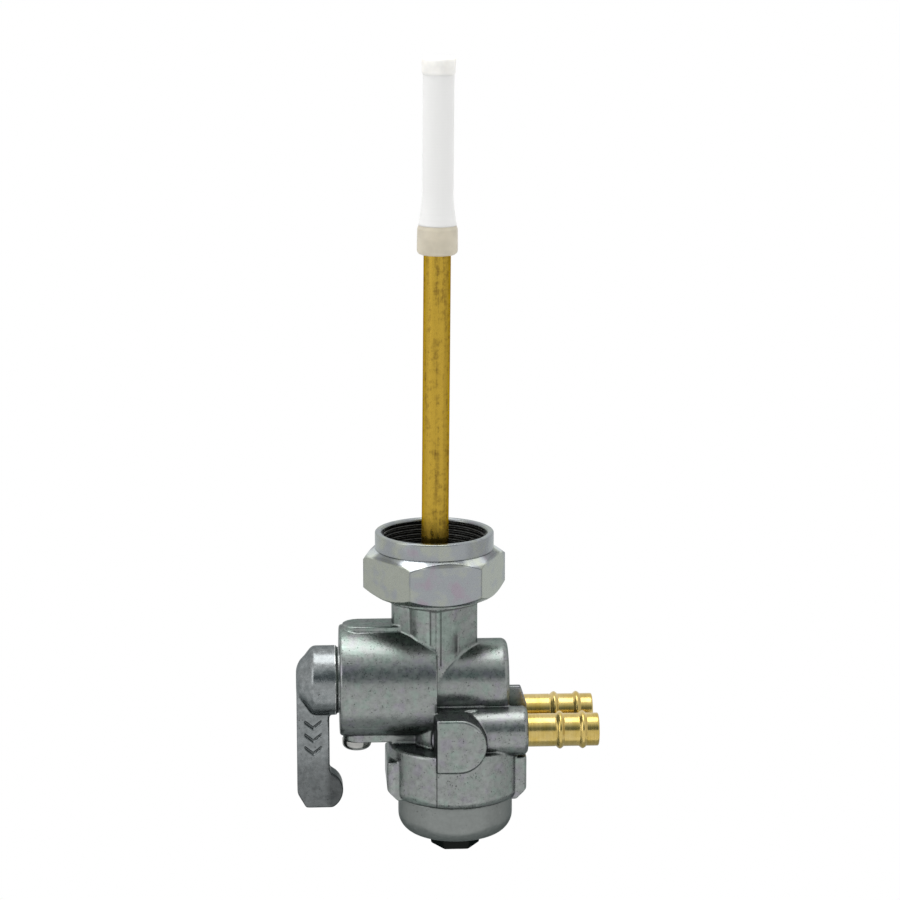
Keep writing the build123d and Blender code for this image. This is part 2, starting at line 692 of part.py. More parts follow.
# Gauze disc under the clean well, and the spoked frame that the bowl's neck holds against it
gauze_outer = chamber_radius - seat_gap
gauze_inner = inlet_spigot_radius + seat_gap
with BuildPart() as bowl_gauze:
    with BuildSketch(Plane.XY.offset(chamber_top)):
        with Locations((bowl_x, 0)):
            Circle(gauze_outer)
            Circle(gauze_inner, mode=Mode.SUBTRACT)
    extrude(amount=-gauze_thickness)
bowl_gauze.part.label = "bowl_gauze"
export_step(bowl_gauze.part, "parts/bowl_gauze.step")

with BuildPart() as gauze_frame:
    with BuildSketch(Plane.XY.offset(chamber_top - gauze_thickness)):
        with Locations((bowl_x, 0)):
            Circle(gauze_outer)
            Circle(gauze_outer - gauze_ring_width, mode=Mode.SUBTRACT)
            Circle(gauze_inner + gauze_hub_width)
            Circle(gauze_inner, mode=Mode.SUBTRACT)
            with PolarLocations((gauze_outer + gauze_inner) / 2, gauze_spoke_count):
                Rectangle(gauze_outer - gauze_inner - gauze_hub_width, gauze_spoke_width)
    extrude(amount=-gauze_frame_thickness)
gauze_frame.part.label = "gauze_frame"
export_step(gauze_frame.part, "parts/gauze_frame.step")


def make_outlet(y):
    """Hose spigot pressed into its boss, with two beads that hold the hose."""
    hose_plane = Plane(origin=(outlet_boss_end, y, outlet_z), x_dir=(1, 0, 0), z_dir=(0, -1, 0))
    with BuildPart() as outlet:
        with BuildSketch(hose_plane):
            with BuildLine():
                bead_line = [Line((-hose_socket_depth, hose_bore_radius), (-hose_socket_depth, hose_radius))]
                for place in (first_bead, second_bead):
                    foot = (place - bead_half_width, hose_radius)
                    Line(bead_line[-1] @ 1, foot)
                    bead_line.append(ThreePointArc(
                        foot, (place, hose_radius + bead_height), (place + bead_half_width, hose_radius)))
                Polyline(
                    bead_line[-1] @ 1, (hose_length - hose_tip_break, hose_radius),
                    (hose_length, hose_radius - hose_tip_break), (hose_length, hose_bore_radius),
                    (-hose_socket_depth, hose_bore_radius),
                )
            make_face()
        revolve(axis=Axis((outlet_boss_end, y, outlet_z), (1, 0, 0)))
    return outlet


outlet_front = make_outlet(-outlet_y)
outlet_front.part.label = "outlet_front"
export_step(outlet_front.part, "parts/outlet_front.step")

outlet_rear = make_outlet(outlet_y)
outlet_rear.part.label = "outlet_rear"
export_step(outlet_rear.part, "parts/outlet_rear.step")
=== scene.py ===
"""Looks of a motorcycle fuel tap: cast zinc body, plated nut, brass pipe and spigots, nylon strainer.

Laid out as an add-on and run as a script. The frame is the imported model's: the origin is the
centre of the nut's mouth, +Z runs up the standpipe and -Y faces the camera.
"""

from functools import partial
from math import cos, radians, sin, tan

import bmesh
import bpy
import numpy as np
from bpy.props import FloatProperty, FloatVectorProperty, IntProperty, PointerProperty
from bpy.types import Operator, Panel, PropertyGroup
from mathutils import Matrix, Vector


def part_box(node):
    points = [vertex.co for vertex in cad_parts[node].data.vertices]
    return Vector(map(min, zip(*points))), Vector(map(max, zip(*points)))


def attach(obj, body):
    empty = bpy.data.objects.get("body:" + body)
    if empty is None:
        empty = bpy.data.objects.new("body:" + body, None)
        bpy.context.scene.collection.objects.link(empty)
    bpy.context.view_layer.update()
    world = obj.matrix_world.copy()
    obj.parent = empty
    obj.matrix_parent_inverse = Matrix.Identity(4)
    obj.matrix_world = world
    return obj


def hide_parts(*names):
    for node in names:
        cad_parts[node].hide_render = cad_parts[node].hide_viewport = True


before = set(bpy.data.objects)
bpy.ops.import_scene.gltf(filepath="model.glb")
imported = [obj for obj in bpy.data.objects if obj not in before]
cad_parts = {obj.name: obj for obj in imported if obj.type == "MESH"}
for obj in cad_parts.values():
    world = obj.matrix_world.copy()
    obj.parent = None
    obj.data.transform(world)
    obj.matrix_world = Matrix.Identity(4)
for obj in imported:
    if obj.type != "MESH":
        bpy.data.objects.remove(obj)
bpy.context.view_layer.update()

bl_info = {
    "name": "Fuel tap",
    "version": (1, 0, 0),
    "blender": (4, 5, 0),
    "location": "3D View > Sidebar > Fuel tap",
    "description": "Castings, nut, brass, strainer and studio of a fuel tap",
    "category": "Object",
}

MM = 0.001
# Heights in millimetres: the axis of lever and barrel, the pipe's foot and the strainer's base,
# and how deep the pipe stands in the strainer's collar
AXIS_Z = -31.9
PIPE_FOOT_Z = -18.1
STRAINER_Z = 57.7
PIPE_REACH = 5.1


# Colours and defaults of the properties


def linear(code):
    """Linear RGB of an sRGB hex code: each channel is freed from the sRGB curve."""
    srgb = [int(code[i:i + 2], 16) / 255 for i in (0, 2, 4)]
    return tuple(c / 12.92 if c <= 0.04045 else ((c + 0.055) / 1.055) ** 2.4 for c in srgb)


def rgba(channels):
    """Colour of three channels with a full alpha."""
    return (*channels, 1.0)


def length(name, description, value):
    """Length property whose default is given in millimetres."""
    return FloatProperty(name=name, description=description, default=value * MM, precision=5,
                         subtype="DISTANCE", unit="LENGTH")


def colour(name, description, code):
    """Colour property whose default is an sRGB hex code."""
    return FloatVectorProperty(name=name, description=description, default=linear(code),
                               size=3, min=0.0, max=1.0, subtype="COLOR")


def angle(name, description, degrees):
    """Angle property whose default is given in degrees."""
    return FloatProperty(name=name, description=description, default=radians(degrees), subtype="ANGLE")


def plain(name, description, value):
    """Plain number without a unit."""
    return FloatProperty(name=name, description=description, default=value)


def skin_size(value):
    """Length property for the faces of a cast skin."""
    return length("Skin size", "Size of the cast skin's faces", value)


def pass_count(value):
    """Whole number of smoothing passes."""
    return IntProperty(name="Rounding", description="Passes that soften its edges", default=value, min=0)


nut_low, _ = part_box("union_nut")
bowl_low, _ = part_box("sediment_bowl")


class NutSettings(PropertyGroup):
    """Sizes and colours of the union nut."""

    across_flats: length("Across flats", "Width of the hexagon", 26.0)
    rim_radius: length("Rim radius", "Radius of the round rim", 12.4)
    rim_height: length("Rim height", "Height of the rim above the hexagon", 3.55)
    bottom: length("Bottom", "Height of the nut's lower face", nut_low.z / MM)
    bore_radius: length("Bore radius", "Radius at the crests of the thread", 10.46)
    thread_depth: length("Thread depth", "Depth of the thread's grooves", 0.55)
    pitch: length("Thread pitch", "Rise of the thread in one turn", 1.0)
    thread_length: length("Thread length", "Depth of the threaded bore", 6.2)
    chamfer: angle("Chamfer slope", "Slope of the cut corners", 34.0)
    turn: angle("Turn", "Angle from +X to the first corner", 7.4)
    plating: colour("Plating", "Main colour of the plating", "969A9D")
    green: colour("Green film", "Colour of its greenish film", "A1A59C")
    violet: colour("Violet film", "Colour of its violet film", "99919A")
    # Nearly black colour of the threaded bore; its material paints bright lines on the thread as highlights
    bore: colour("Bore", "Colour of the oily thread", "121211")


class CastingSettings(PropertyGroup):
    """Fineness and colours of the valve body."""

    grain: skin_size(0.19)
    rounding: pass_count(5)
    zinc: colour("Zinc", "Main colour of the casting", "8C908E")
    green: colour("Green film", "Colour of its greenish film", "88948E")
    violet: colour("Violet film", "Colour of its violet film", "8D8C92")
    parting: length("Parting plane", "Place of the die's parting plane along X", -0.2)


class LeverSettings(PropertyGroup):
    """Fineness, mark and colours of the lever."""

    grain: skin_size(0.17)
    rounding: pass_count(22)
    mark_depth: length("Mark depth", "Depth of the sunk chevrons", 0.38)
    plug_left: length("Plug's left end", "Where the turned plug starts along X", -20.6)
    zinc: colour("Zinc", "Colour of the lever's casting", "7D8182")
    shade: colour("Shade", "Darker colour in its hollows", "717677")
    turned: colour("Turned ring", "Colour of the machined plug", "C8CACA")


class BowlSettings(PropertyGroup):
    """Fineness and colours of the sediment bowl."""

    grain: skin_size(0.2)
    rounding: pass_count(6)
    zinc: colour("Zinc", "Main colour of the bowl", "828684")
    # Near-black colour given to the bowl's lower hexagon
    shade: colour("Shade", "Colour of the blackened hexagon", "1D1F1E")


class BrassSettings(PropertyGroup):
    """Sizes and colours of the standpipe and the hose spigots."""

    pipe_radius: length("Pipe radius", "Outer radius of the standpipe", 2.8)
    pipe_wall: length("Pipe wall", "Wall of the standpipe", 0.6)
    hose_radius: length("Spigot radius", "Outer radius of a hose spigot", 3.45)
    hose_wall: length("Spigot wall", "Wall of a hose spigot", 1.0)
    bead: length("Bead height", "Height of the beads", 0.5)
    polished: colour("Polished brass", "Colour of the turned spigots", "CBB576")
    drawn: colour("Drawn brass", "Colour of the drawn pipe", "B8983A")
    tarnish: colour("Tarnish", "Colour of its dark streaks", "80652C")


class StrainerSettings(PropertyGroup):
    """Sizes and colours of the strainer on the standpipe."""

    collar_radius: length("Collar radius", "Widest radius of the collar", 4.2)
    cap_radius: length("Cap radius", "Radius of the cap", 3.5)
    sleeve_radius: length("Sleeve radius", "Radius of the sleeve", 3.2)
    thread_spacing: length("Thread spacing", "Distance between its threads", 0.34)
    collar: colour("Collar", "Colour of the moulded nylon collar", "C5BDAA")
    sleeve: colour("Sleeve", "Colour of the nylon mesh", "F1F1EF")
    cap: colour("Cap", "Colour of the moulded cap", "ECEBE7")


class SmallPartSettings(PropertyGroup):
    """Colours of the screw, the seals and the gauze."""

    screw: colour("Screw", "Colour of the plated screw", "A9A9A6")
    rubber: colour("Rubber", "Colour of the gasket and seals", "26272A")
    gauze: colour("Gauze", "Colour of the brass gauze", "A58A4C")


class StudioSettings(PropertyGroup):
    """Floor, light and camera."""

    floor: length("Floor", "Height of the floor", -150.0)
    lamp: plain("Lamp power", "Power of the overhead soft box in watts", 6.6)
    side: plain("Side power", "Power of the side soft box in watts", 1.7)
    ambient: plain("Ambient", "Strength of the even light", 1.0)
    focal_length: plain("Focal length", "Camera lens in millimetres", 123.2)


# Nodes


def connect(node, inputs):
    """Gives a node's inputs, by name or in order, a value, a socket or another node's first output."""
    for name, value in inputs.items() if isinstance(inputs, dict) else enumerate(inputs):
        if isinstance(value, bpy.types.Node):
            value = next(output for output in value.outputs if output.enabled)
        if isinstance(value, bpy.types.NodeSocket):
            node.id_data.links.new(value, node.inputs[name])
        else:
            node.inputs[name].default_value = value


def add_node(tree, kind, inputs=(), stops=(), **settings):
    """Adds a shader node. A second word of its kind is its operation; settings are its other
    properties, inputs its values or links, and stops its ramp."""
    kind, _, operation = kind.partition(" ")
    node = tree.nodes.new("ShaderNode" + kind)
    if operation:
        node.operation = operation
    for name, value in settings.items():
        setattr(node, name, value)
    connect(node, inputs)
    for index, (place, shade) in enumerate(stops):
        elements = node.color_ramp.elements
        element = elements[index] if index < len(elements) else elements.new(place)
        element.position = place
        element.color = rgba(shade)
    return node


def start_material(name):
    """New material, the function that adds its nodes, its shader and the place in millimetres."""
    material = bpy.data.materials.new(name)
    material.use_nodes = True
    add = partial(add_node, material.node_tree)
    place = add("VectorMath SCALE", {0: add("TexCoord").outputs["Object"], "Scale": 1 / MM})
    return material, add, material.node_tree.nodes["Principled BSDF"], place


# Meshes


def merged(mesh, distance, outward=False):
    """Joins the points of a mesh that are nearer than the distance, and may turn its faces outwards."""
    shape = bmesh.new()
    shape.from_mesh(mesh)
    bmesh.ops.remove_doubles(shape, verts=shape.verts, dist=distance)
    if outward:
        bmesh.ops.recalc_face_normals(shape, faces=shape.faces)
    shape.to_mesh(mesh)
    shape.free()


def joined_mesh(name, *grids):
    """Mesh of grids of points in millimetres, whose rows and columns close on themselves.

    Each comes with the material of its points. The UV map holds the turn and the row.
    """
    vertices, faces, uvs, slots = [], [], [], []
    start = 0
    for points, slot in grids:
        rows, columns, _ = points.shape
        i, j = np.indices((rows, columns)).reshape(2, -1)
        ni, nj = (i + 1) % rows, (j + 1) % columns
        corners = [i * columns + j, i * columns + nj, ni * columns + nj, ni * columns + j]
        faces.append(start + np.stack(corners, 1))
        u, v = np.stack([j, j + 1, j + 1, j], 1) / columns, np.stack([i, i, i + 1, i + 1], 1) / rows
        uvs.append(np.stack([u, v], 2).reshape(-1, 2))
        slots.append(np.broadcast_to(slot, (rows, columns))[i, j])
        vertices.append(points.reshape(-1, 3) * MM)
        start += rows * columns
    mesh = bpy.data.meshes.new(name)
    mesh.from_pydata(np.concatenate(vertices).tolist(), [], np.concatenate(faces).tolist())
    layer = mesh.uv_layers.new(name="surface")
    layer.data.foreach_set("uv", np.concatenate(uvs).ravel())
    mesh.polygons.foreach_set("material_index", np.concatenate(slots).astype(np.int32))
    merged(mesh, 1e-7, outward=True)
    return mesh


def corner_arc(before, corner, after, radius, steps):
    """Points of the arc of that radius which touches both sides of a corner."""
    u = (before - corner) / np.linalg.norm(before - corner)
    v = (after - corner) / np.linalg.norm(after - corner)
    half = np.arccos(np.clip(u @ v, -1, 1)) / 2
    if radius <= 0 or half > radians(89.5):
        return corner[None, :]
    centre = corner + (u + v) / np.linalg.norm(u + v) * radius / sin(half)
    start = corner + u * radius / tan(half) - centre
    end = corner + v * radius / tan(half) - centre
    sweep = radians(180) - 2 * half
    t = np.linspace(0, 1, steps + 1)[:, None]
    return centre + (np.sin((1 - t) * sweep) * start + np.sin(t * sweep) * end) / sin(sweep)


def closed_outline(corners, steps=5):
    """Closed outline through (along, radius, rounding) corners, with each corner rounded by an arc."""
    corners = np.array(corners, float)
    spots, count = corners[:, :2], len(corners)
    return np.concatenate([corner_arc(spots[k - 1], spots[k], spots[(k + 1) % count], corners[k, 2], steps)
                           for k in range(count)])


def turned(outline, foot, direction, columns=96):
    """Closed outline of (along, radius) carried round an axis: foot + along * axis + radius * ring."""
    axis = Vector(direction).normalized()
    side = np.array(axis.orthogonal().normalized())
    other = np.cross(np.array(axis), side)
    turn = np.arange(columns) * 2 * np.pi / columns
    ring = np.cos(turn)[:, None] * side + np.sin(turn)[:, None] * other
    return np.array(foot) + outline[:, 0, None, None] * np.array(axis) + outline[:, 1, None, None] * ring


def merged_copy(node):
    """Copy of a CAD node's mesh whose loose triangles are joined at their corners."""
    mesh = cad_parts[node].data.copy()
    mesh.materials.clear()
    merged(mesh, 2e-6)
    for name in ("custom_normal", "sharp_edge", "sharp_face"):
        if name in mesh.attributes:
            mesh.attributes.remove(mesh.attributes[name])
    mesh.polygons.foreach_set("material_index", np.zeros(len(mesh.polygons), np.int32))
    return mesh


def put_in_scene(name, data):
    """New object in the scene that holds the data."""
    item = bpy.data.objects.new(name, data)
    bpy.context.scene.collection.objects.link(item)
    return item


def modified(mesh, kind, **settings):
    """The mesh as one modifier leaves it."""
    holder = put_in_scene("holder", mesh)
    modifier = holder.modifiers.new("change", kind)
    for name, value in settings.items():
        setattr(modifier, name, value)
    changed = holder.evaluated_get(bpy.context.evaluated_depsgraph_get())
    result = bpy.data.meshes.new_from_object(changed)
    bpy.data.objects.remove(holder)
    return result


def read_points(mesh):
    """Vertices of a mesh in millimetres."""
    points = np.empty(len(mesh.vertices) * 3)
    mesh.vertices.foreach_get("co", points)
    return points.reshape(-1, 3) / MM


def write_points(mesh, points):
    """Puts vertices in millimetres back into the mesh."""
    mesh.vertices.foreach_set("co", (points * MM).ravel())
    mesh.update()


def softened(mesh, passes, crisp=None):
    """Smoothed points: each pass takes a point halfway to the mean of its neighbours.

    crisp, where given, says from the points how much of that each of them keeps back.
    """
    points = read_points(mesh)
    pace = 0.5 if crisp is None else 0.5 * (1 - crisp(points))[:, None]
    ends = np.empty(len(mesh.edges) * 2, np.int32)
    mesh.edges.foreach_get("vertices", ends)
    first, second = ends.reshape(-1, 2).T
    total = len(points)
    neighbours = np.bincount(ends, minlength=total)[:, None]
    for _ in range(passes):
        sums = np.stack([np.bincount(first, points[second, k], total)
                         + np.bincount(second, points[first, k], total) for k in range(3)], 1)
        points = points + pace * (sums / neighbours - points)
    return points


def cast_skin(node, settings, crisp=None):
    """Closed copy of a CAD node with an even skin of small faces and its edges softened as in a die."""
    mesh = modified(merged_copy(node), "REMESH", mode="VOXEL", voxel_size=settings.grain)
    write_points(mesh, softened(mesh, settings.rounding, crisp))
    return mesh


def thinned(mesh, most=190000):
    """The mesh with fewer triangles where it has more than the most that a piece may have."""
    triangles = sum(len(face.vertices) - 2 for face in mesh.polygons)
    if triangles <= most:
        return mesh
    return modified(mesh, "DECIMATE", decimate_type="COLLAPSE", ratio=most / triangles)


def face_centres(mesh):
    """Middles of the faces in millimetres, as three rows."""
    centres = np.empty(len(mesh.polygons) * 3)
    mesh.polygons.foreach_get("center", centres)
    return centres.reshape(-1, 3).T / MM


def ramp(values, start, end):
    """Share that goes evenly from 0 at the start to 1 at the end, and stays so beyond them."""
    return np.clip((values - start) / (end - start), 0, 1)


def bell(values, middle, width):
    """Share that is 1 at the middle and falls off as a bell to 0.37 at the width from it."""
    return np.exp(-((values - middle) / width) ** 2)


def paint(mesh, name, values):
    """Stores one value for each vertex under a name that a material reads."""
    mesh.attributes.new(name, "FLOAT", "POINT").data.foreach_set("value", values)


def place_piece(name, mesh, body, materials, nodes=()):
    """Puts a mesh into the scene as a piece that rides on a body and stands for CAD nodes."""
    mesh.name = name
    for material in materials:
        mesh.materials.append(material)
    mesh.polygons.foreach_set("use_smooth", np.ones(len(mesh.polygons), bool))
    piece = put_in_scene(name, mesh)
    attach(piece, body)
    if nodes:
        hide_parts(*nodes)
    return piece


def dress_node(node, material):
    """Gives a CAD node a material."""
    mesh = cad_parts[node].data
    mesh.materials.clear()
    mesh.materials.append(material)


# Finishes


def passivated_zinc(name, base, green, violet, roughness, specks, mottle=0.13, edge=1.15,
                    clouds=0.36, edgewise="AEB2B2", line=None):
    """Zinc under a clear chromate film: cloudy tints, soft gloss, small dark pits, and painted shade with
    some soiling in its hollows.

    Clouds of tint are 1 to 5 mm wide, the orange-peel skin is 0.5 mm, and the round pits are 0.1 to
    0.3 mm, more of them where specks is low. The mottle is the depth of the stains, the edge is the
    painted highlight on convex edges, which darkens them where it is below 1, and edgewise is the hex
    code of the tint seen edgewise. Ambient occlusion and the mesh's pointiness paint shade, with some
    soiling, into its hollows and inner corners. The mesh's film attribute shifts the tint, and its
    painted_light_and_stain attribute darkens it as painted shade and stains, or lightens it where it
    is below zero, as painted highlight. The line is the place along X of the die's fine joint below
    the barrel.
    """
    material, add, shader, place = start_material(name)
    cloud = add("TexNoise", {"Vector": place, "Scale": clouds, "Detail": 4.0, "Roughness": 0.55})
    shift = add("Attribute", attribute_name="film").outputs["Fac"]
    tint = add("Math ADD", (cloud, shift))
    film = add("ValToRGB", {"Fac": tint}, [(0.33, green), (0.47, base), (0.53, base), (0.65, violet)])
    stain = add("TexNoise", {"Vector": place, "Scale": 0.9, "Detail": 5.0, "Roughness": 0.72})
    shade = add("MapRange", (stain, 0.3, 0.7, 1 - mottle, 1 + 0.75 * mottle))
    toned = add("VectorMath SCALE", {0: film, "Scale": shade})
    dots = add("TexVoronoi", {"Vector": place, "Scale": 2.1})
    patch = add("TexNoise", {"Vector": place, "Scale": 0.6, "Detail": 3.0, "Roughness": 0.6})
    reach = add("MapRange", (patch, specks, specks + 0.2, 0.0, 0.3))
    within = add("Math SUBTRACT", (reach, dots))
    pit = add("MapRange", (within, 0.0, 0.08))
    pitted = add("Mix", {0: pit, 6: toned, 7: rgba(linear("4A4C4B"))}, data_type="RGBA")
    # Painted shade, with some soiling, in hollows: ambient occlusion darkens the colour
    hollow = add("AmbientOcclusion", {"Distance": 2.2 * MM}, samples=6)
    shade_and_soil_in_hollows = add("MapRange", (hollow.outputs["AO"], 0.25, 0.8, 0.42, 1.0))
    # Painted shade in concave bends and painted highlight on convex edges, from the pointiness
    bend = add("NewGeometry").outputs["Pointiness"]
    crease_shade = add("MapRange", (bend, 0.42, 0.492, 0.5, 1.0))
    edge_light = add("MapRange", (bend, 0.512, 0.57, 1.0, edge))
    edge_and_crease_light = add("Math MULTIPLY", (crease_shade, edge_light))
    painted_light_and_soil = add("Math MULTIPLY", (shade_and_soil_in_hollows, edge_and_crease_light))
    # Painted shade and highlight from the mesh's attribute, and on the body also stains and die lines
    painted_light_and_stain = add("Attribute", attribute_name="painted_light_and_stain").outputs["Fac"]
    left_after_painted_light = add("Math SUBTRACT", (1.0, painted_light_and_stain))
    whole = add("Math MULTIPLY", (painted_light_and_soil, left_after_painted_light))
    final = add("VectorMath SCALE", {0: pitted, "Scale": whole})
    gloss = add("MapRange", (stain, 0.3, 0.7, roughness - 0.06, roughness + 0.08))
    skin = add("TexNoise", {"Vector": place, "Scale": 1.7, "Detail": 3.0, "Roughness": 0.55})
    height = add("Math MULTIPLY_ADD", (pit, -0.35, skin))
    if line is not None:
        across = add("SeparateXYZ", {0: place})
        away = add("Math SUBTRACT", (across.outputs["X"], line / MM))
        span = add("Math ABSOLUTE", {0: away})
        near = add("MapRange", (span, 0.06, 0.2, 0.65, 0.0))
        low = add("MapRange", (across.outputs["Z"], -39.0, -38.4, 1.0, 0.0))
        joint = add("Math MULTIPLY", (near, low))
        light = add("Math SUBTRACT", (1.0, joint))
        final = add("VectorMath SCALE", {0: final, "Scale": light})
        height = add("Math SUBTRACT", (height, joint))
    bump = add("Bump", {"Height": height, "Strength": 0.6, "Distance": 0.035 * MM})
    connect(shader, {"Metallic": 1.0, "Specular Tint": rgba(linear(edgewise)), "Base Color": final,
                     "Roughness": gloss, "Normal": bump})
    return material


def turned_metal(name, base, tint, roughness, line_axis, lines_per_mm, depth_mm):
    """Turned or drawn metal: fine lines across one axis, with slow changes of colour.

    The lines are 0.2 mm and more apart, coarser than a tool leaves them, so that they show.
    """
    material, add, shader, place = start_material(name)
    scale = [0.05, 0.05, 0.05]
    scale[line_axis] = lines_per_mm
    run = add("Mapping", {"Vector": place, "Scale": scale})
    lines = add("TexNoise", {"Vector": run, "Scale": 1.0, "Detail": 3.0, "Roughness": 0.6})
    cloud = add("TexNoise", {"Vector": place, "Scale": 0.3, "Detail": 3.0, "Roughness": 0.6})
    blend = add("MapRange", (cloud, 0.35, 0.68))
    hue = add("Mix", {0: blend, 6: rgba(base), 7: rgba(tint)}, data_type="RGBA")
    streak = add("MapRange", (lines, 0.3, 0.7, 0.9, 1.08))
    shade = add("VectorMath SCALE", {0: hue, "Scale": streak})
    gloss = add("MapRange", (lines, 0.3, 0.7, roughness * 0.8, roughness * 1.25))
    bump = add("Bump", {"Height": lines, "Strength": 0.5, "Distance": depth_mm * MM})
    connect(shader, {"Metallic": 1.0, "Base Color": shade, "Roughness": gloss, "Normal": bump})
    return material


def dark_thread(base):
    """Steel thread of a nearly black colour, with painted highlights: bright lines along both its crests and
    its roots.
    """
    material, add, shader, place = start_material("dark_steel_thread")
    grain = add("TexNoise", {"Vector": place, "Scale": 1.2, "Detail": 4.0, "Roughness": 0.6})
    smear = add("MapRange", (grain, 0.35, 0.7, 0.6, 1.8))
    # Painted highlight: bright lines where the thread bends most, at both crests and roots
    bend = add("NewGeometry").outputs["Pointiness"]
    away = add("Math SUBTRACT", (bend, 0.5))
    turn = add("Math ABSOLUTE", {0: away})
    line = add("MapRange", (turn, 0.015, 0.06))
    painted_thread_highlights = add("Mix", {0: line, 6: rgba(base), 7: rgba(linear("626462"))}, data_type="RGBA")
    shade = add("VectorMath SCALE", {0: painted_thread_highlights, "Scale": smear})
    bump = add("Bump", {"Height": grain, "Strength": 0.4, "Distance": 0.03 * MM})
    connect(shader, {"Metallic": 0.5, "Roughness": 0.36, "Specular IOR Level": 0.25, "Base Color": shade,
                     "Normal": bump})
    return material


def drawn_brass_pipe(base, tarnish):
    """Drawn brass tube: dull, with dark streaks of tarnish along it, 0.3 to 1 mm wide.

    Inside the nut it gets a painted highlight, and its foot below that a painted shadow of the nut's rim.
    """
    material, add, shader, place = start_material("drawn_brass_pipe")
    run = add("Mapping", {"Vector": place, "Scale": (1.1, 1.1, 0.05)})
    streaks = add("TexNoise", {"Vector": run, "Scale": 1.0, "Detail": 5.0, "Roughness": 0.65})
    spots = add("TexNoise", {"Vector": place, "Scale": 0.9, "Detail": 5.0, "Roughness": 0.7})
    both = add("Math ADD", (streaks, spots))
    dark = add("MapRange", (both, 1.0, 1.3))
    hue = add("Mix", {0: dark, 6: rgba(base), 7: rgba(tarnish)}, data_type="RGBA")
    height = add("SeparateXYZ", {0: place}).outputs["Z"]
    # Painted highlight inside the nut, and below it a painted shadow of the nut's rim at the foot
    painted_light_in_nut = add("MapRange", (height, -0.8, 2.2, 1.9, 1.0))
    foot = add("MapRange", (height, -1.3, -0.8, 0.3, 1.0))
    painted_light_level = add("Math MULTIPLY", (painted_light_in_nut, foot))
    toned = add("VectorMath SCALE", {0: hue, "Scale": painted_light_level})
    gloss = add("MapRange", (both, 0.8, 1.25, 0.24, 0.48))
    bump = add("Bump", {"Height": streaks, "Strength": 0.5, "Distance": 0.02 * MM})
    connect(shader, {"Metallic": 1.0, "Specular Tint": rgba(linear("B9A66A")), "Base Color": toned,
                     "Roughness": gloss, "Normal": bump})
    return material


def moulded_nylon(name, base):
    """Natural moulded nylon: milky and satin, with a faint flow of shade 2 to 4 mm wide."""
    material, add, shader, place = start_material(name)
    flow = add("TexNoise", {"Vector": place, "Scale": 0.35, "Detail": 3.0})
    low = tuple(channel * 0.88 for channel in base)
    hue = add("ValToRGB", {"Fac": flow}, [(0.35, low), (0.62, base)])
    skin = add("TexNoise", {"Vector": place, "Scale": 3.0})
    bump = add("Bump", {"Height": skin, "Strength": 0.3, "Distance": 0.02 * MM})
    connect(shader, {"Roughness": 0.45, "IOR": 1.53, "Subsurface Weight": 0.35,
                     "Subsurface Radius": (1.0, 0.95, 0.85), "Subsurface Scale": 1.2 * MM,
                     "Base Color": hue, "Normal": bump})
    return material


def nylon_mesh(base, radius, spacing):
    """Woven nylon mesh: pale threads both ways, with the holes between them painted slightly darker, as
    shade.

    The real threads are about 0.1 mm apart; these are drawn coarser so that the weave shows, one
    spacing apart round the sleeve and 1.8 spacings along it.
    """
    material, add, shader, place = start_material("woven_nylon_mesh")
    surface = add("TexCoord").outputs["UV"]
    turns = 2 * np.pi * radius / spacing
    rows = 34 * MM / spacing
    run = add("Mapping", {"Vector": surface, "Scale": (round(turns), rows, 1.0)})
    thread = woven(add, run, 0.5)
    long = add("Mapping", {"Vector": place, "Scale": (0.8, 0.8, 0.03)})
    fold = add("TexNoise", {"Vector": long, "Scale": 1.0})
    height = add("Math ADD", (thread, fold))
    tone = add("MapRange", (height, 0.5, 1.1))
    dim = tuple(channel * 0.975 for channel in base)
    hue = add("Mix", {0: tone, 6: rgba(dim), 7: rgba(base)}, data_type="RGBA")
    bump = add("Bump", {"Height": thread, "Strength": 0.05, "Distance": 0.05 * MM})
    connect(shader, {"Roughness": 0.5, "IOR": 1.53, "Subsurface Weight": 0.4,
                     "Subsurface Radius": (1.0, 1.0, 1.0), "Subsurface Scale": 2.5 * MM, "Base Color": hue,
                     "Normal": bump})
    return material


def moulded_rubber(base):
    """Nitrile rubber, moulded: nearly black, matt, with a fine grain 0.3 mm wide."""
    material, add, shader, place = start_material("moulded_nitrile_rubber")
    grain = add("TexNoise", {"Vector": place, "Scale": 3.0, "Detail": 3.0, "Roughness": 0.6})
    lighter = tuple(channel * 1.8 for channel in base)
    hue = add("ValToRGB", {"Fac": grain}, [(0.35, base), (0.75, lighter)])
    bump = add("Bump", {"Height": grain, "Strength": 0.5, "Distance": 0.03 * MM})
    connect(shader, {"Roughness": 0.62, "IOR": 1.52, "Base Color": hue, "Normal": bump})
    return material


def woven(add, place, half):
    """Height of a weave whose threads run along both axes of a place, twice the half apart."""
    parts = add("SeparateXYZ", {0: place}).outputs
    warp = add("Math PINGPONG", (parts["X"], half))
    weft = add("Math PINGPONG", (parts["Y"], half))
    return add("Math MAXIMUM", (warp, weft))


def brass_gauze(base):
    """Woven brass gauze: wires 0.5 mm apart both ways, with painted shade in the holes between them."""
    material, add, shader, place = start_material("woven_brass_gauze")
    wire = woven(add, place, 0.25)
    tone = add("MapRange", (wire, 0.1, 0.2))
    # The holes are painted dark brown, as the shade seen through them
    hue = add("Mix", {0: tone, 6: rgba(linear("2B2418")), 7: rgba(base)}, data_type="RGBA")
    bump = add("Bump", {"Height": tone, "Strength": 0.8, "Distance": 0.1 * MM})
    connect(shader, {"Metallic": 1.0, "Roughness": 0.4, "Base Color": hue, "Normal": bump})
    return material


# Pieces


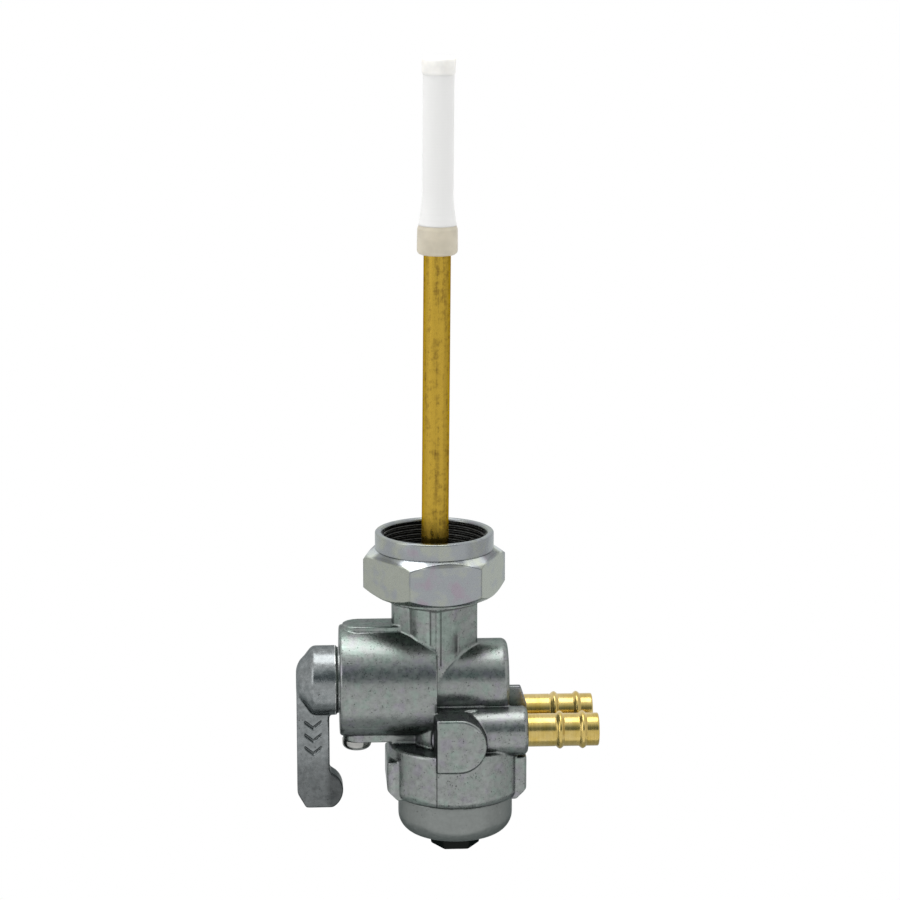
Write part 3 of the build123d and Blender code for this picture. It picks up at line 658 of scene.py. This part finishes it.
def nut_points(settings):
    """Skin of the union nut as a closed band of rows round the Z axis.

    Outside, the radius is the smooth least of the hexagon's faces, half the width across flats over
    the cosine of the angle from the face's middle, and of two cones that cut its corners. In the
    bore a V thread rises one pitch in a turn and fades out at both ends.
    """
    flat = settings.across_flats / 2 / MM
    rim = settings.rim_radius / MM
    top = -settings.rim_height / MM
    low = settings.bottom / MM
    bore = settings.bore_radius / MM
    pitch = settings.pitch / MM
    end = -settings.thread_length / MM
    columns = 360
    turn = settings.turn + np.arange(columns) * 2 * np.pi / columns
    face = np.mod(turn - settings.turn, np.pi / 3) - np.pi / 6
    sides = flat / np.cos(face)

    z = np.concatenate([np.linspace(low + 0.02, low + 3.2, 30), np.linspace(low + 3.4, top - 3.4, 8),
                        np.linspace(top - 3.2, top, 34)])
    lower = rim + (z - low) / tan(settings.chamfer)
    upper = rim + (top - z) / tan(settings.chamfer)
    skins = np.stack(np.broadcast_arrays(sides, lower[:, None], upper[:, None]))
    least = skins.min(0)
    softness = 0.07
    outside = least - softness * np.log(np.exp((least - skins) / softness).sum(0))

    edge = closed_outline([(top, bore + 1, 0), (top, rim - 0.04, 0.12), (0.0, rim - 0.04, 0.34),
                           (0.0, bore + 0.8, 0.12), (-0.62, bore + 0.05, 0.0)], 6)[1:]
    depth = np.linspace(-0.66, end - 0.4, 100)
    phase = depth[:, None] / pitch - turn[None, :] / (2 * np.pi)
    wave = np.abs(np.mod(phase, 1.0) - 0.5) * 2
    groove = ramp(wave, 0.12, 0.88)
    fade = ramp(depth, end, end + 0.8)
    thread = bore + settings.thread_depth / MM * groove * fade[:, None]

    heights = np.concatenate([z, edge[:, 0], depth, [low + 0.5, low]])
    foot = np.array([[bore], [bore + 0.4]])
    radii = np.concatenate([outside, edge[:, 1:] + 0 * turn, thread, foot + 0 * turn])
    points = np.stack(np.broadcast_arrays(radii * np.cos(turn), radii * np.sin(turn), heights[:, None]), -1)
    inside = np.zeros(radii.shape, int)
    inside[len(z) + len(edge) - 1:-1] = 1
    return points, inside


def film_of_faces(points, turn):
    """Shift of the film's tint: each side of the hexagon took its own, and the rest is greenish."""
    x, y, z = points.T
    shifts = np.array([-0.1, 0.06, -0.04, -0.2, -0.02, -0.2])
    side = np.mod(np.arctan2(y, x) - turn, 2 * np.pi) // (np.pi / 3)
    flat = (z < -4.6) & (np.hypot(x, y) > 12.5)
    blush = 0.16 * bell(x, 2.8, 2.6) * bell(z, -9.0, 2.2) * (y < 0)
    return np.where(flat, shifts[side.astype(int) % 6] + blush, -0.07)


def painted_light_of_cones(points, turn):
    """Painted shade on the upper cone at a face's middle, and painted highlight, below zero, at its corners.
    """
    x, y, z = points.T
    away = np.abs(np.mod(np.arctan2(y, x) - turn, np.pi / 3) - np.pi / 6)
    cone = ramp(z, -4.9, -4.6) * ramp(z, -3.45, -3.55)
    return cone * (0.42 * ramp(away, 0.39, 0.09) - 0.95 * ramp(away, 0.27, 0.37))


class TAP_OT_union_nut(Operator):
    """Builds the plated union nut with its thread"""

    bl_idname = "tap.union_nut"
    bl_label = "Union nut"

    def execute(self, context):
        settings = context.scene.tap_nut
        points, inside = nut_points(settings)
        mesh = joined_mesh("plated_nut", (points, inside))
        points = read_points(mesh)
        paint(mesh, "film", film_of_faces(points, settings.turn))
        paint(mesh, "painted_light_and_stain", painted_light_of_cones(points, settings.turn))
        # With edge below 1 the nut's convex edges are painted darker, as dark outlines
        plating = passivated_zinc("zinc_plated_steel", settings.plating, settings.green, settings.violet,
                                  roughness=0.27, specks=0.62, mottle=0.06, edge=0.62, clouds=0.22,
                                  edgewise="E4E8E8")
        finishes = [plating, dark_thread(settings.bore)]
        place_piece("plated_nut", mesh, "nut", finishes, ["union_nut"])
        return {"FINISHED"}


def crisp_neck(points):
    """Share of the softening that the faceted neck keeps back: most of it above the barrel."""
    return 0.7 * ramp(points[:, 2], -24.5, -22.5)


def leaning_bell(across, steep, gentle):
    """Bell that falls off over the steep width on its negative side and the gentle one on the other."""
    return np.exp(-(across / np.where(across < 0, steep, gentle)) ** 2)


def neck_marks(points, middle):
    """Shares of the marks on the neck's front: the raised rib, the fine lines and the two hollows.

    The rib falls off from 0.34 to 0.5 mm beside its middle, 0.35 mm right of the neck's. The lines
    are bells 0.3 mm wide where the strip of the die's insert ends, and the left one stays off the
    barrel; one more runs round under the collar, as a groove and, in the colour, a painted shadow of
    the collar. The hollows are bells, steep on their outer side, and their darkening is painted shade.
    """
    x, y, z = points.T
    across = x - middle
    front = ramp(y, -3.2, -4.2) * ramp(z, -14.3, -14.6)
    off_barrel = np.where(x < -0.5, ramp(np.hypot(y, z - AXIS_Z), 11.9, 12.2), 1.0)
    ends = front * ramp(z, -27.4, -26.8)
    inner = front * (y > 0.4 * np.abs(x) - 8.5) * off_barrel
    rib = ramp(np.abs(across - 0.35), 0.5, 0.34) * ends
    lines = (bell(across, -1.28, 0.17) * off_barrel + bell(across, 0.9, 0.16)
             + 0.6 * bell(across, -0.2, 0.1) * off_barrel) * ends
    lines = np.maximum(lines, bell(z, -15.2, 0.22) * ramp(y, -2.2, -3.2) * (y > -8.3))
    left = leaning_bell(x + 5.3, 0.12, 1.1) * inner * ramp(z, -23.0, -22.0)
    right = leaning_bell(4.5 - x, 0.12, 1.4) * inner * ramp(z, -19.5, -21.5)
    right *= ramp(z, -25.2, -24.6)
    return rib, lines, np.maximum(left, right)


def stain_and_shade_of_body(points, middle):
    """Darker colour on the casting: along the neck's die lines, with a painted shadow on the line under the
    collar, painted shade in the neck's hollows, and one stain.
    """
    x, y, z = points.T
    _, lines, hollows = neck_marks(points, middle)
    stain = bell(x, 2.2, 1.0) * bell(z, -16.3, 0.6) * (y < -5)
    return np.clip(0.75 * lines + 0.55 * hollows + 0.5 * stain, 0, 0.8)


class TAP_OT_valve_body(Operator):
    """Gives the cast valve body its soft edges and its skin"""

    bl_idname = "tap.valve_body"
    bl_label = "Valve body"

    def execute(self, context):
        settings = context.scene.tap_casting
        mesh = cast_skin("valve_body", settings, crisp_neck)
        points = read_points(mesh)
        middle = 0.07
        rib, lines, hollows = neck_marks(points, middle)
        points[:, 1] -= 0.2 * rib - 0.1 * lines - 0.14 * hollows
        write_points(mesh, points)
        mesh = thinned(mesh)
        points = read_points(mesh)
        paint(mesh, "painted_light_and_stain", stain_and_shade_of_body(points, middle))
        paint(mesh, "film", -0.09 * ramp(points[:, 2], -26.0, -24.0))
        finish = passivated_zinc("passivated_zinc_casting", settings.zinc, settings.green, settings.violet,
                                 roughness=0.29, specks=0.42, mottle=0.27, line=settings.parting)
        place_piece("cast_body", mesh, "body", [finish], ["valve_body"])
        return {"FINISHED"}


def sink_chevrons(points, depth, front):
    """Moves the points of the arm's front face back by the depth, inside three V-shaped strokes.

    A stroke is the band where |z - place + |x - middle|| is small, within the arm's width.
    """
    middle, half, width = -25.6, 1.9, 0.42
    strength = np.zeros(len(points))
    for place in (-41.5, -44.3, -47.1):
        across = np.abs(points[:, 0] - middle)
        along = np.abs(points[:, 2] - place - across * 0.8)
        inside = ramp(along, width, width - 0.22) * ramp(across, half, half - 0.22)
        strength = np.maximum(strength, inside)
    facing = ramp(points[:, 1], front + 0.9, front + 0.6)
    points[:, 1] += depth * strength * facing
    return points


def crisp_plug(points):
    """Share of the softening that the machined plug keeps back."""
    return 0.95 * ((points[:, 0] > -21.2) & (points[:, 2] > -42.0))


def straight_nose(points):
    """Draws the lever's nose in by a bell along X, which leaves its cone nearly straight."""
    x, y, z = points.T - np.array([[0], [0], [AXIS_Z]])
    radius = np.hypot(y, z)
    share = 0.5 * bell(x, -27.3, 1.0) * ramp(radius, 8.6, 7.4)
    kept = 1 - share / np.maximum(radius, 2.0)
    return np.stack([x, y * kept, z * kept + AXIS_Z], 1)


def painted_light_of_lever(points):
    """Painted shade on the lever towards the arm's foot, on the knob and on the arm's right side, and
    painted highlight, below zero, on the hub and along the arm.
    """
    x, y, z = points.T
    foot = ramp(z, -47.0, -53.0)
    side = (np.abs(y) < 2.4) * (x > -27.5) * ramp(z, -41.0, -42.0)
    knob = ramp(x, -23.3, -21.8) * ramp(z, -44.0, -46.0)
    hub = ramp(z, -40.0, -36.0)
    arm = ramp(z, -39.0, -41.0) * ramp(z, -49.0, -47.0)
    return np.minimum(0.33 * foot + 0.3 * knob - 0.22 * hub + 0.3 * side - 0.1 * arm, 0.6)


class TAP_OT_lever(Operator):
    """Gives the cast lever its soft edges, its sunk chevrons and its machined plug"""

    bl_idname = "tap.lever"
    bl_label = "Lever"

    def execute(self, context):
        settings = context.scene.tap_lever
        mesh = cast_skin("lever", settings, crisp_plug)
        points = sink_chevrons(straight_nose(read_points(mesh)), settings.mark_depth / MM, front=-3.0)
        write_points(mesh, points)
        mesh = thinned(mesh, 150000)
        paint(mesh, "painted_light_and_stain", painted_light_of_lever(read_points(mesh)))
        x, _, z = face_centres(mesh)
        plug = ((x > settings.plug_left / MM - 0.45) & (z > -42)).astype(np.int32)
        finish = passivated_zinc("grey_cast_lever", settings.zinc, settings.shade, settings.zinc,
                                 roughness=0.26, specks=0.47, mottle=0.32)
        bright = turned_metal("turned_zinc_plug", settings.turned, linear("A6A8A6"), roughness=0.2,
                              line_axis=0, lines_per_mm=5.0, depth_mm=0.01)
        piece = place_piece("cast_lever", mesh, "lever", [finish, bright], ["lever"])
        piece.data.polygons.foreach_set("material_index", plug)
        return {"FINISHED"}


class TAP_OT_sediment_bowl(Operator):
    """Gives the sediment bowl its soft edges and its plainer grey skin"""

    bl_idname = "tap.sediment_bowl"
    bl_label = "Sediment bowl"

    def execute(self, context):
        settings = context.scene.tap_bowl
        mesh = thinned(cast_skin("sediment_bowl", settings), 150000)
        hexagon = (face_centres(mesh)[2] < bowl_low.z / MM + 3.1).astype(np.int32)
        grey, black = settings.zinc, settings.shade
        finish = passivated_zinc("grey_cast_bowl", grey, grey, grey, roughness=0.34, specks=0.5)
        # The lower hexagon is given a near-black colour
        dark_hexagon = passivated_zinc("dark_cast_hexagon", black, black, black, roughness=0.42, specks=0.6)
        piece = place_piece("cast_bowl", mesh, "bowl", [finish, dark_hexagon], ["sediment_bowl"])
        piece.data.polygons.foreach_set("material_index", hexagon)
        return {"FINISHED"}


def spigot_outline(settings):
    """Closed outline of a hose spigot along +X: a tube with two beads and a scribed ring.

    A bead is one arch of a cosine, to the power 1.1, on the tube's wall, so its top is round and
    its feet are slightly hollow.
    """
    outer = settings.hose_radius / MM
    inner = outer - settings.hose_wall / MM
    x = np.concatenate([np.linspace(12.3, 24.4, 12), np.linspace(24.5, 26.6, 30),
                        np.linspace(26.7, 29.6, 8), np.linspace(29.7, 31.4, 26), np.linspace(31.6, 33.4, 6)])
    height = settings.bead / MM
    radius = np.full(len(x), outer)
    for middle in (25.8, 30.55):
        reach = np.minimum(np.abs(x - middle) / 0.78, 1)
        radius += height * np.abs(np.cos(reach * np.pi / 2)) ** 1.1
    radius -= 0.09 * bell(x, 24.85, 0.07)
    tip = closed_outline([(33.0, outer, 0), (33.9, outer, 0.32), (33.9, inner, 0.2), (12.3, inner, 0)], 5)
    return np.concatenate([np.stack([x, radius], 1), tip[1:]])


class TAP_OT_hose_spigots(Operator):
    """Builds the two beaded hose spigots of polished brass"""

    bl_idname = "tap.hose_spigots"
    bl_label = "Hose spigots"

    def execute(self, context):
        settings = context.scene.tap_brass
        outline = spigot_outline(settings)
        finish = turned_metal("polished_turned_brass", settings.polished, linear("BDA354"),
                              roughness=0.22, line_axis=0, lines_per_mm=4.0, depth_mm=0.008)
        for name, node in (("front_spigot", "outlet_front"), ("rear_spigot", "outlet_rear")):
            low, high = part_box(node)
            foot = (0.0, (low.y + high.y) / 2 / MM, (low.z + high.z) / 2 / MM)
            mesh = joined_mesh(name, (turned(outline, foot, (1, 0, 0), 128), 0))
            place_piece(name, mesh, "body", [finish], [node])
        return {"FINISHED"}


def round_pipe(outline):
    """Outline carried round the standpipe's axis, which leans half a degree to the right."""
    return turned(outline, (0.0, 0.0, PIPE_FOOT_Z), (sin(radians(0.5)), 0.0, cos(radians(0.5))))


class TAP_OT_standpipe(Operator):
    """Builds the drawn brass standpipe"""

    bl_idname = "tap.standpipe"
    bl_label = "Standpipe"

    def execute(self, context):
        settings = context.scene.tap_brass
        outer = settings.pipe_radius / MM
        inner = outer - settings.pipe_wall / MM
        height = STRAINER_Z - PIPE_FOOT_Z + PIPE_REACH
        side = np.stack([np.linspace(0.3, height - 0.3, 40), np.full(40, outer)], 1)
        ends = closed_outline([(height - 0.4, outer, 0), (height, outer, 0.15), (height, inner, 0.15),
                               (0.0, inner, 0.15), (0.0, outer, 0.15)], 4)
        outline = np.concatenate([side, ends[1:]])
        mesh = joined_mesh("brass_standpipe", (round_pipe(outline), 0))
        finish = drawn_brass_pipe(settings.drawn, settings.tarnish)
        place_piece("brass_standpipe", mesh, "body", [finish], ["standpipe"])
        return {"FINISHED"}


class TAP_OT_strainer(Operator):
    """Builds the strainer: moulded collar and cap, and the woven sleeve between them"""

    bl_idname = "tap.strainer"
    bl_label = "Strainer"

    def execute(self, context):
        settings = context.scene.tap_strainer
        base = STRAINER_Z - PIPE_FOOT_Z
        wide = settings.collar_radius / MM
        cap = settings.cap_radius / MM
        narrow = settings.sleeve_radius / MM
        collar = closed_outline([(base + 0.3, 2.85, 0.1), (base + 0.3, wide, 0.9),
                                 (base + 5.6, wide - 0.06, 0.5), (base + 6.5, wide - 0.42, 0.4),
                                 (base + 6.5, 2.0, 0.1), (base + PIPE_REACH, 2.0, 0.1),
                                 (base + PIPE_REACH, 2.85, 0.1)], 5)
        lid = closed_outline([(base + 36.8, 0.0, 0), (base + 36.8, cap - 0.26, 0.1),
                              (base + 37.3, cap - 0.08, 0.3), (base + 40.3, cap, 0.6),
                              (base + 40.3, 0.0, 0)], 5)
        rise = np.linspace(base + 6.3, base + 37.0, 90)
        flare = ramp(rise, base + 12.5, base + 6.5)
        outer = narrow + 0.7 * flare ** 1.5 + 0.035 * np.sin(rise * 5.2) * flare
        sleeve = np.concatenate([np.stack([rise, outer], 1), np.stack([rise[::-1], outer[::-1] - 0.35], 1)])
        frame_mesh = joined_mesh("strainer_collar", (round_pipe(collar), 0), (round_pipe(lid), 1))
        sleeve_mesh = joined_mesh("strainer_sleeve", (round_pipe(sleeve), 0))
        moulded = [moulded_nylon("aged_moulded_nylon", settings.collar),
                   moulded_nylon("natural_moulded_nylon", settings.cap)]
        place_piece("strainer_collar", frame_mesh, "body", moulded, ["filter_frame"])
        weave = nylon_mesh(settings.sleeve, settings.sleeve_radius, settings.thread_spacing)
        place_piece("strainer_sleeve", sleeve_mesh, "body", [weave], ["filter_mesh"])
        return {"FINISHED"}


class TAP_OT_small_parts(Operator):
    """Finishes the screw, the gasket, the seals and the gauze"""

    bl_idname = "tap.small_parts"
    bl_label = "Screw, seals and gauze"

    def execute(self, context):
        settings = context.scene.tap_small_parts
        screw = modified(merged_copy("lever_screw"), "BEVEL", width=0.12 * MM, segments=3,
                         limit_method="ANGLE", angle_limit=radians(35))
        plated = turned_metal("bright_plated_screw", settings.screw, linear("8E8F8C"), roughness=0.14,
                              line_axis=2, lines_per_mm=4.0, depth_mm=0.006)
        place_piece("plated_screw", screw, "body", [plated], ["lever_screw"])
        rubber = moulded_rubber(settings.rubber)
        for node in ("tank_gasket", "packing", "spindle_seal", "bowl_seal"):
            dress_node(node, rubber)
        dress_node("gauze_frame", moulded_nylon("moulded_nylon_ring", linear("D8D4CC")))
        dress_node("bowl_gauze", brass_gauze(settings.gauze))
        return {"FINISHED"}


# Studio


def light_world(tree, strength):
    """World that is white to camera, glossy and transmission rays, and an even light to others."""
    add = partial(add_node, tree)
    path = add("LightPath").outputs
    seen = add("Math MAXIMUM", (path["Is Camera Ray"], path["Is Glossy Ray"]))
    either = add("Math MAXIMUM", (seen, path["Is Transmission Ray"]))
    light = add("Background", {"Color": (1, 1, 1, 1), "Strength": strength})
    white = add("Background", {"Color": (1, 1, 1, 1), "Strength": 1.0})
    connect(tree.nodes["World Output"], {"Surface": add("MixShader", (either, light, white))})


def add_lamp(name, place, size, power):
    """Soft box that points from its place at the origin, both in metres."""
    lamp = bpy.data.lights.new(name, "AREA")
    lamp.shape = "RECTANGLE"
    lamp.size, lamp.size_y = size
    lamp.energy = power
    holder = put_in_scene(name, lamp)
    holder.location = place
    holder.rotation_euler = (-Vector(place)).to_track_quat("-Z", "Y").to_euler()
    holder.visible_camera = False


def add_card(name, centre, target, size, shades):
    """Card that only reflections see: a flat rectangle round its centre, turned to face a target.

    Its shades are (place, colour) stops from its lower edge, 0, to its upper one, 1.
    """
    across, up = (s / 2 for s in size)
    corners = [(-across, -up, 0), (across, -up, 0), (across, up, 0), (-across, up, 0)]
    turn = (Vector(target) - Vector(centre)).to_track_quat("Z", "Y")
    mesh = bpy.data.meshes.new(name)
    mesh.from_pydata([tuple(turn @ Vector(c) + Vector(centre)) for c in corners], [], [(0, 1, 2, 3)])
    paint(mesh, "height", [0.0, 0.0, 1.0, 1.0])
    material = bpy.data.materials.new(name)
    material.use_nodes = True
    add = partial(add_node, material.node_tree)
    height = add("Attribute", attribute_name="height").outputs["Fac"]
    glow = add("Emission", {"Color": add("ValToRGB", {"Fac": height}, shades), "Strength": 1.0})
    connect(material.node_tree.nodes["Material Output"], {"Surface": glow})
    mesh.materials.append(material)
    card = put_in_scene(name, mesh)
    for rays in ("camera", "diffuse", "transmission", "shadow"):
        setattr(card, "visible_" + rays, False)


def add_floor(height):
    """Round pale floor: one disc whose material fades into the white background."""
    turn = np.arange(96) * 2 * np.pi / 96
    ring = 0.3 * np.stack([np.cos(turn), np.sin(turn), 0 * turn], 1) + (0, 0, height)
    mesh = bpy.data.meshes.new("floor")
    mesh.from_pydata(ring.tolist(), [], [list(range(96))])
    material, add, shader, place = start_material("painted_white_floor")
    distance = add("VectorMath LENGTH", {0: place}).outputs["Value"]
    fade = add("MapRange", (distance, 110, 240), interpolation_type="SMOOTHSTEP")
    grain = add("TexNoise", {"Vector": place, "Scale": 0.02})
    hue = add("ValToRGB", {"Fac": grain}, [(0.0, linear("F4F4F4")), (1.0, linear("F8F8F8"))])
    connect(shader, {"Base Color": hue, "Roughness": 0.9})
    under = add("NewGeometry").outputs["Backfacing"]
    hidden = add("Math MAXIMUM", (fade, under))
    mix = add("MixShader", (hidden, shader, add("BsdfTransparent")))
    connect(material.node_tree.nodes["Material Output"], {"Surface": mix})
    mesh.materials.append(material)
    put_in_scene("floor", mesh)


class TAP_OT_studio(Operator):
    """Sets up the floor, the soft light and the camera"""

    bl_idname = "tap.studio"
    bl_label = "Studio"

    def execute(self, context):
        settings = context.scene.tap_studio
        world = bpy.data.worlds.new("studio")
        world.use_nodes = True
        light_world(world.node_tree, settings.ambient)
        context.scene.world = world
        context.scene.view_settings.view_transform = "Standard"
        add_floor(settings.floor)
        add_lamp("overhead_soft_box", (-0.1, 0.05, 1.2), (0.75, 1.0), settings.lamp)
        add_lamp("left_soft_box", (-1.0, -0.5, 0.4), (0.5, 0.9), settings.side)
        middle = (0.0, 0.0, 0.0)
        above = [(0.0, (0.11, 0.14, 0.155)), (0.5, (0.2, 0.235, 0.25)), (1.0, (0.85, 0.9, 0.9))]
        below = [(0.0, (0.45, 0.475, 0.475))] * 2
        left = [(0.0, (0.88,) * 3)] * 2
        right = [(0.0, (0.75,) * 3)] * 2
        add_card("dark_card_above_camera", (0.0, -1.2, 0.72), middle, (2.6, 1.15), above)
        add_card("dark_card_below", (0.0, 0.0825, -0.145), (0.0, 0.0825, 0.0), (0.36, 0.275), below)
        add_card("grey_card_left", (-1.3, 0.1, 0.0), middle, (1.6, 1.2), left)
        add_card("grey_card_right", (1.3, 0.1, 0.0), middle, (1.6, 1.2), right)
        camera = bpy.data.cameras.new("photo_camera")
        camera.lens = settings.focal_length
        camera.sensor_width = 36.0
        holder = put_in_scene("photo_camera", camera)
        turn, tilt = radians(3.2), radians(12.45)
        view = Vector((sin(turn) * cos(tilt), cos(turn) * cos(tilt), -sin(tilt)))
        holder.location = (-0.0314127, -0.6202729, 0.154282)
        holder.rotation_euler = view.to_track_quat("-Z", "Y").to_euler()
        context.scene.camera = holder
        return {"FINISHED"}


# Panel and registration


SETTINGS = {
    "tap_nut": NutSettings,
    "tap_casting": CastingSettings,
    "tap_lever": LeverSettings,
    "tap_bowl": BowlSettings,
    "tap_brass": BrassSettings,
    "tap_strainer": StrainerSettings,
    "tap_small_parts": SmallPartSettings,
    "tap_studio": StudioSettings,
}
OPERATORS = (TAP_OT_valve_body, TAP_OT_union_nut, TAP_OT_lever, TAP_OT_sediment_bowl,
             TAP_OT_hose_spigots, TAP_OT_standpipe, TAP_OT_strainer, TAP_OT_small_parts,
             TAP_OT_studio)


class TAP_PT_panel(Panel):
    """Sidebar panel with the operators and the settings"""

    bl_idname = "TAP_PT_panel"
    bl_label = "Fuel tap"
    bl_space_type = "VIEW_3D"
    bl_region_type = "UI"
    bl_category = "Fuel tap"

    def draw(self, context):
        for operator in OPERATORS:
            self.layout.operator(operator.bl_idname)
        for name, group in SETTINGS.items():
            box = self.layout.box()
            for field in group.__annotations__:
                box.prop(getattr(context.scene, name), field)


def register():
    """Registers the settings, the operators and the panel."""
    for name, group in SETTINGS.items():
        bpy.utils.register_class(group)
        setattr(bpy.types.Scene, name, PointerProperty(type=group))
    for operator in OPERATORS:
        bpy.utils.register_class(operator)
    bpy.utils.register_class(TAP_PT_panel)


def unregister():
    """Takes them out again."""
    bpy.utils.unregister_class(TAP_PT_panel)
    for operator in reversed(OPERATORS):
        bpy.utils.unregister_class(operator)
    for name, group in reversed(SETTINGS.items()):
        delattr(bpy.types.Scene, name)
        bpy.utils.unregister_class(group)


def main():
    register()
    for operator in OPERATORS:
        getattr(bpy.ops.tap, operator.bl_idname.partition(".")[2])()


if __name__ == "__main__":
    main()
